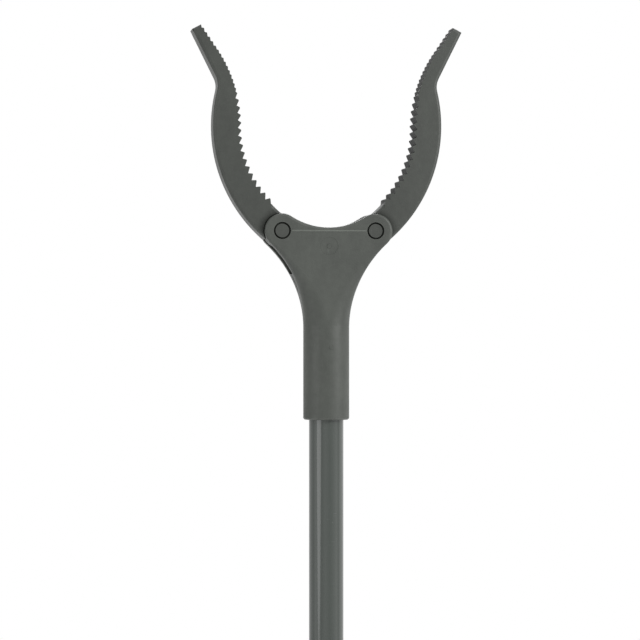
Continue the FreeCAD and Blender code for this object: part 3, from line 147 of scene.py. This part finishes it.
def crevice_shade_mask(tree, reach):
    """Mask of painted shade in crevices: 0 on open surface, rising to 1 where walls crowd in within
    this many millimetres.
    """
    open_view, crowded_view = 0.95, 0.45
    node = add(tree, "AmbientOcclusion", {"Distance": reach * MM}, samples=6)
    return spread(tree, node.outputs["AO"], open_view, crowded_view)


def bump(tree, height, depth, under=None):
    """Relief of this many millimetres, laid over another relief if one is given."""
    values = {"Height": height, "Strength": 1.0, "Distance": depth * MM}
    if under is not None:
        values["Normal"] = under
    return add(tree, "Bump", values).outputs[0]


def grey(value):
    return (value, value, value, 1.0)


def scaled(colour, factor):
    return tuple(channel * factor for channel in colour)


def shade(colour, factor):
    """The colour made lighter or darker, with alpha."""
    return scaled(colour, factor) + (1.0,)


def new_tree(name):
    material = bpy.data.materials.new(name)
    material.use_nodes = True
    material.node_tree.nodes.clear()
    return material, material.node_tree


def finish_tree(tree, **values):
    """Principled surface and output. Names use underscores for the sockets' spaces."""
    sockets = {name.replace("_", " "): value for name, value in values.items()}
    surface = add(tree, "BsdfPrincipled", sockets)
    add(tree, "OutputMaterial", {"Surface": surface.outputs[0]})


# ---------------------------------------------------------------- masks of scratches and places, and of painted highlight and shade

def scratches(tree, point, along, across, density):
    """Mask of sparse hairlines, in patches. Both scales stretch the noise they are drawn from."""
    lines = noise(tree, stretched(tree, point, across), 1.0, 1.0)
    patches = noise(tree, stretched(tree, point, along), 9.0, 2.0)
    thin = spread(tree, lines, density, density + 0.03)
    return times(tree, thin, spread(tree, patches, 0.48, 0.62))


PIN_LOW, PIN_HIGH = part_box("jaw_pin_right")
PIN_HEIGHT = (PIN_LOW.z + PIN_HIGH.z) / 2
RIDGE_HALF = 0.12 * MM       # half the pale ridge's width
RIDGE_FADE = 0.38 * MM       # where the ridge has faded out, from its middle
THROAT_RISE = 10.0 * MM      # jaw pins up to the end of the smooth throat
MASK_FADE = 1.0 * MM         # length over which a place's mask fades


def pale_ridge(tree, point):
    """Mask of the painted highlight on the fine ridge that joins the jaw pins on the head's face."""
    axes = split(tree, point)
    rise = calc(tree, "ABSOLUTE", calc(tree, "SUBTRACT", axes[2], PIN_HEIGHT))
    across = calc(tree, "ABSOLUTE", axes[0])
    line = spread(tree, rise, RIDGE_HALF, RIDGE_FADE, 1.0, 0.0)
    return times(tree, line, spread(tree, across, PIN_LOW.x, PIN_LOW.x + MASK_FADE, 1.0, 0.0))


def gripping_side(tree, point):
    """Mask of painted shade on the jaws' toothed faces: they look inwards and lie above the smooth
    throat.
    """
    axes = split(tree, point)
    normal = split(tree, add(tree, "TexCoord").outputs["Normal"])
    towards_middle = times(tree, calc(tree, "SIGN", axes[0]), -1.0)
    inward = spread(tree, times(tree, normal[0], towards_middle), 0.15, 0.55)
    throat = PIN_HEIGHT + THROAT_RISE
    return times(tree, inward, spread(tree, axes[2], throat, throat + MASK_FADE))


# ---------------------------------------------------------------- materials

RUBBED_AND_LIT = 2.4             # brightness of rubbed edges and painted highlights against the colour
SHADE_LEVEL = 0.25             # brightness of painted shade against the colour
PLASTIC_SHINE = 0.35     # specular level of plastic, falling to none under painted shade


def moulded_plastic(name, colour, roughness, grain, depth, edge_wear_and_highlight=0.35, cloudy=0.20, shade_strength=0.8,
                    reach=2.2, highlighted_places=None, shaded_places=None):
    """Injection-moulded plastic: spark-eroded grain, flow clouds, hairlines, pale edges, painted shade.

    grain is the size of the grain and depth its relief. wear is how far edges are made pale, partly
    rubbed and partly with a painted highlight, and cloudy how far the flow clouds lighten and darken
    the colour. grime is how far crevices are darkened with painted shade, and reach how wide they may
    be.
    marks(tree, point) is a mask of further places with a painted highlight and dirt(tree, point) one
    of further places with painted shade, which also loses its shine.
    """
    material, tree = new_tree(name)
    point = object_point(tree)
    flow = noise(tree, stretched(tree, point, (1.0, 1.0, 0.3)), 14.0, 5.0, 0.6)
    mottle = noise(tree, point, 2.5, 4.0, 0.6)
    fine = noise(tree, point, grain, 3.0, 0.6)
    pits = cells(tree, point, grain * 1.6)
    hair = scratches(tree, point, (1.0, 1.0, 0.3), (6.0, 6.0, 0.25), 0.70)
    rim = times(tree, edge_mask(tree, 0.5), spread(tree, mottle, 0.3, 0.7, 0.45, 1.0))
    clouds = calc(tree, "ADD", times(tree, flow, 0.7), times(tree, mottle, 0.3))
    tone = spread(tree, clouds, 0.35, 0.65)

    body = mix(tree, tone, shade(colour, 1 - cloudy), shade(colour, 1 + cloudy))
    body = mix(tree, spread(tree, fine, 0.62, 0.78, 0.0, 0.35), body, shade(colour, 1.7))
    body = mix(tree, times(tree, hair, 0.35), body, shade(colour, 2.2))
    # Edges made pale: partly rubbed, partly a painted highlight.
    body = mix(tree, times(tree, rim, edge_wear_and_highlight), body, shade(colour, RUBBED_AND_LIT))
    # Painted shade: crevices, and the further places given, are darkened and lose their shine.
    shade_amount = times(tree, crevice_shade_mask(tree, reach), shade_strength)
    if shaded_places:
        shade_amount = calc(tree, "MAXIMUM", shade_amount, times(tree, shaded_places(tree, point), 0.85))
    body = mix(tree, shade_amount, body, shade(colour, SHADE_LEVEL))
    # Painted highlight on the further places given.
    if highlighted_places:
        body = mix(tree, times(tree, highlighted_places(tree, point), 0.6), body, shade(colour, RUBBED_AND_LIT))

    rough = calc(tree, "ADD", spread(tree, tone, 0.0, 1.0, roughness + 0.05, roughness - 0.05),
                 spread(tree, fine, 0.3, 0.7, -0.04, 0.04))
    rough = calc(tree, "SUBTRACT", rough, times(tree, rim, 0.08), clamp=True)
    relief = bump(tree, pits, depth)
    relief = bump(tree, fine, depth * 0.6, relief)
    relief = bump(tree, hair, -depth * 0.5, relief)
    shine = spread(tree, shade_amount, 0.0, 1.0, PLASTIC_SHINE, 0.0)
    finish_tree(tree, Base_Color=body, Roughness=rough, Specular_IOR_Level=shine, Normal=relief)
    return material


def gloss_coating(name, colour):
    """Glossy coating on a drawn tube: faint lines along it, orange peel, dust and rubs."""
    material, tree = new_tree(name)
    point = object_point(tree)
    drawn = noise(tree, stretched(tree, point, (1.0, 1.0, 0.004)), 0.55, 4.0, 0.7)
    peel = noise(tree, point, 1.1, 2.0)
    cloud = noise(tree, stretched(tree, point, (1.0, 1.0, 0.2)), 8.0, 4.0)
    dust = spread(tree, noise(tree, point, 0.22, 1.0), 0.76, 0.80)
    rubs = scratches(tree, point, (1.0, 1.0, 0.5), (0.4, 0.4, 5.0), 0.74)
    body = mix(tree, cloud, shade(colour, 0.85), shade(colour, 1.15))
    body = mix(tree, times(tree, dust, 0.35), body, grey(0.35))
    body = mix(tree, times(tree, rubs, 0.25), body, grey(0.25))
    dulled = times(tree, calc(tree, "ADD", dust, rubs), 0.2)
    rough = calc(tree, "ADD", spread(tree, drawn, 0.3, 0.7, 0.11, 0.19), dulled, clamp=True)
    relief = bump(tree, drawn, 0.004)
    relief = bump(tree, peel, 0.0035, relief)
    finish_tree(tree, Base_Color=body, Roughness=rough, Specular_IOR_Level=0.55,
                Coat_Weight=0.5, Coat_Roughness=0.06, Normal=relief)
    return material


STAIN = (0.12, 0.10, 0.08, 1.0)


def drawn_metal(name, colour, roughness, stretch=(1.0, 1.0, 0.02)):
    """Metal with fine lines, faint staining and brighter edges.

    stretch scales the noise behind the lines, which run along the axis it scales least.
    """
    material, tree = new_tree(name)
    point = object_point(tree)
    lines = noise(tree, stretched(tree, point, stretch), 0.12, 4.0, 0.7)
    cloud = noise(tree, point, 3.0, 5.0, 0.65)
    rim = edge_mask(tree, 0.25)
    body = mix(tree, lines, shade(colour, 0.82), shade(colour, 1.12))
    body = mix(tree, spread(tree, cloud, 0.55, 0.8, 0.0, 0.4), body, STAIN)
    body = mix(tree, times(tree, rim, 0.4), body, grey(0.85))
    rough = calc(tree, "ADD", spread(tree, lines, 0.3, 0.7, roughness - 0.07, roughness + 0.07),
                 spread(tree, cloud, 0.5, 0.8, 0.0, 0.15), clamp=True)
    finish_tree(tree, Base_Color=body, Metallic=1.0, Roughness=rough,
                Normal=bump(tree, lines, 0.006))
    return material


def nylon(name, colour):
    """Unpigmented nylon: milky, with flow clouds and a soft gloss."""
    material, tree = new_tree(name)
    point = object_point(tree)
    cloud = noise(tree, point, 5.0, 4.0, 0.6)
    fine = noise(tree, point, 0.35, 3.0)
    body = mix(tree, cloud, shade(colour, 0.88), shade(colour, 1.06))
    rough = spread(tree, fine, 0.3, 0.7, 0.30, 0.42)
    finish_tree(tree, Base_Color=body, Roughness=rough, Subsurface_Weight=0.25,
                Subsurface_Radius=(0.003, 0.0025, 0.002), Normal=bump(tree, fine, 0.008))
    return material


DARK = (0.0595, 0.0645, 0.0575)
ORANGE = (0.78, 0.085, 0.022)
MILKY = (0.74, 0.71, 0.63)
EVEN = (1.0, 1.0, 1.0)

FINISHES = {
    # The head's ridge between the jaw pins carries a painted highlight.
    "head_plastic": moulded_plastic(
        "head_plastic", DARK, roughness=0.46, grain=0.28, depth=0.014, edge_wear_and_highlight=0.5, highlighted_places=pale_ridge),
    # The jaws' toothed faces carry painted shade.
    "jaw_plastic": moulded_plastic(
        "jaw_plastic", scaled(DARK, 0.80), roughness=0.44, grain=0.28, depth=0.014, reach=3.0,
        shaded_places=gripping_side),
    "pin_plastic": moulded_plastic(
        "pin_plastic", scaled(DARK, 0.85), roughness=0.42, grain=0.24, depth=0.010),
    "handle_plastic": moulded_plastic(
        "handle_plastic", scaled(DARK, 0.98), roughness=0.50, grain=0.42, depth=0.026),
    "trigger_plastic": moulded_plastic(
        "trigger_plastic", ORANGE, roughness=0.40, grain=0.26, depth=0.012, edge_wear_and_highlight=0.12,
        cloudy=0.07, shade_strength=0.5),
    "tube_paint": gloss_coating("tube_paint", (0.050, 0.058, 0.052)),
    "natural_nylon": nylon("natural_nylon", MILKY),
    "steel": drawn_metal("steel", (0.60, 0.60, 0.59), roughness=0.28),
    "spring_steel": drawn_metal(
        "spring_steel", (0.42, 0.42, 0.43), roughness=0.30, stretch=(0.3, 0.3, 1.0)),
    "screw_steel": drawn_metal("screw_steel", (0.58, 0.57, 0.53), roughness=0.34, stretch=EVEN),
    "aluminium_rivet": drawn_metal(
        "aluminium_rivet", (0.78, 0.78, 0.79), roughness=0.32, stretch=EVEN),
}


def paint_frame():
    """Each CAD node takes the finish that the record's material slot names."""
    for part in frame["record"]["subparts"]:
        node = NODES[part["node"]]
        for place in node.material_slots:
            place.material = FINISHES[part["material_slot"]]


paint_frame()


# ---------------------------------------------------------------- the spring coil

def make_spring():
    """A copy of the return spring's coil in spring steel, carried with the head; the original is
    hidden.
    """
    coil = bpy.data.objects.new("return_coil", NODES["return_spring"].data.copy())
    bpy.context.scene.collection.objects.link(coil)
    coil.data.materials.clear()
    coil.data.materials.append(FINISHES["spring_steel"])
    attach(coil, "head")
    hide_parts("return_spring")
    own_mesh(coil)


make_spring()


# ---------------------------------------------------------------- floor, light and camera

FLOOR_RADIUS = 2.2
FLOOR_SOLID = 0.5       # the floor is opaque to this distance from its middle
FLOOR_GONE = 1.9        # and has faded out at this one
FLOOR_GAP = 1.0 * MM    # under the handle

FRAME_WIDTH = 0.2355    # width that the camera sees at the head
CAMERA_LENS = 150.0
CAMERA_AZIMUTH = math.radians(-7.4)
CAMERA_SIDE = -2.3 * MM   # from the tube's axis to the middle of the frame
CAMERA_DROP = 32.6 * MM   # from the jaw pins down to the middle of the frame


def make_floor():
    """A pale disc under the handle that fades into the background."""
    bpy.ops.mesh.primitive_circle_add(vertices=96, radius=FLOOR_RADIUS, fill_type="NGON")
    floor = bpy.context.object
    floor.name = "floor"
    floor.location = (0.0, 0.0, cad_box[0].z - FLOOR_GAP)
    material, tree = new_tree("pale_floor")
    point = object_point(tree)
    length = add(tree, "VectorMath", {0: point}, operation="LENGTH").outputs["Value"]
    fade = spread(tree, length, FLOOR_SOLID, FLOOR_GONE)
    tint = noise(tree, point, 40.0, 3.0)
    paper = mix(tree, tint, grey(0.86), grey(0.90))
    surface = add(tree, "BsdfPrincipled", {"Base Color": paper, "Roughness": 0.7})
    clear = add(tree, "BsdfTransparent")
    both = add(tree, "MixShader", {0: fade, 1: surface.outputs[0], 2: clear.outputs[0]})
    add(tree, "OutputMaterial", {"Surface": both.outputs[0]})
    floor.data.materials.append(material)


# The surroundings: direction about the tool in degrees, 0 at the front and 90 on the right,
# and how bright it is there.
SURROUND = [(-180, 0.9), (-150, 0.7), (-122, 0.60), (-100, 0.50), (-84, 0.95), (-62, 0.70), (-42, 0.45),
            (-15, 0.70), (18, 0.42), (40, 0.60), (66, 0.95), (84, 0.50), (98, 0.95), (120, 0.85),
            (180, 0.9)]
CEILING = 1.2    # how bright it is overhead


def make_surround():
    """Soft boxes around the tool for reflections; the camera itself sees plain white."""
    world = bpy.data.worlds.new("studio")
    bpy.context.scene.world = world
    world.use_nodes = True
    tree = world.node_tree
    tree.nodes.clear()
    axes = split(tree, add(tree, "TexCoord").outputs["Generated"])
    turn = calc(tree, "ARCTAN2", axes[0], times(tree, axes[1], -1.0))
    ramp = add(tree, "ValToRGB", {0: spread(tree, turn, -math.pi, math.pi)})
    stops = ramp.color_ramp.elements
    stops.remove(stops[1])
    stops[0].color = grey(SURROUND[0][1])
    for direction, level in SURROUND[1:]:
        stops.new(0.5 + direction / 360).color = grey(level)
    above = spread(tree, axes[2], 0.2, 0.9)
    boxes = mix(tree, above, ramp.outputs[0], grey(CEILING))
    camera_ray = add(tree, "LightPath").outputs["Is Camera Ray"]
    colour = mix(tree, camera_ray, boxes, grey(1.0))
    backdrop = add(tree, "Background", {"Color": colour, "Strength": 1.0})
    add(tree, "OutputWorld", {"Surface": backdrop.outputs[0]})


# Round soft lights: place from the middle of the camera's view, diameter and power.
LIGHTS = {
    "key": ((0.9, -1.3, 0.9), 0.9, 9.0),
    "near": ((0.30, -0.24, 0.10), 0.22, 0.7),
    "fill": ((-1.4, -0.9, 0.2), 1.1, 4.6),
    "back": ((0.3, 1.3, 0.7), 0.8, 8.0),
}


def make_lights(target):
    """Each light faces the target, which its place is measured from."""
    for name, (offset, size, power) in LIGHTS.items():
        data = bpy.data.lights.new(name, "AREA")
        data.shape = "DISK"
        data.size = size
        data.energy = power
        light = bpy.data.objects.new(name, data)
        light.location = target + Vector(offset)
        light.rotation_euler = (target - light.location).to_track_quat("-Z", "Y").to_euler()
        bpy.context.scene.collection.objects.link(light)


def make_camera():
    """The camera faces the head, a little from the left. Returns the middle of its view."""
    target = Vector((CAMERA_SIDE, 0.0, PIN_HEIGHT - CAMERA_DROP))
    data = bpy.data.cameras.new("camera")
    data.lens = CAMERA_LENS
    distance = FRAME_WIDTH * data.lens / data.sensor_width
    camera = bpy.data.objects.new("camera", data)
    away = Vector((math.sin(CAMERA_AZIMUTH), -math.cos(CAMERA_AZIMUTH), 0.0))
    camera.location = target + away * distance
    camera.rotation_mode = "QUATERNION"
    camera.rotation_quaternion = (-away).to_track_quat("-Z", "Y")
    bpy.context.scene.collection.objects.link(camera)
    bpy.context.scene.camera = camera
    bpy.context.scene.view_settings.view_transform = "Standard"
    return target


make_floor()
make_surround()
view_middle = make_camera()
make_lights(view_middle)
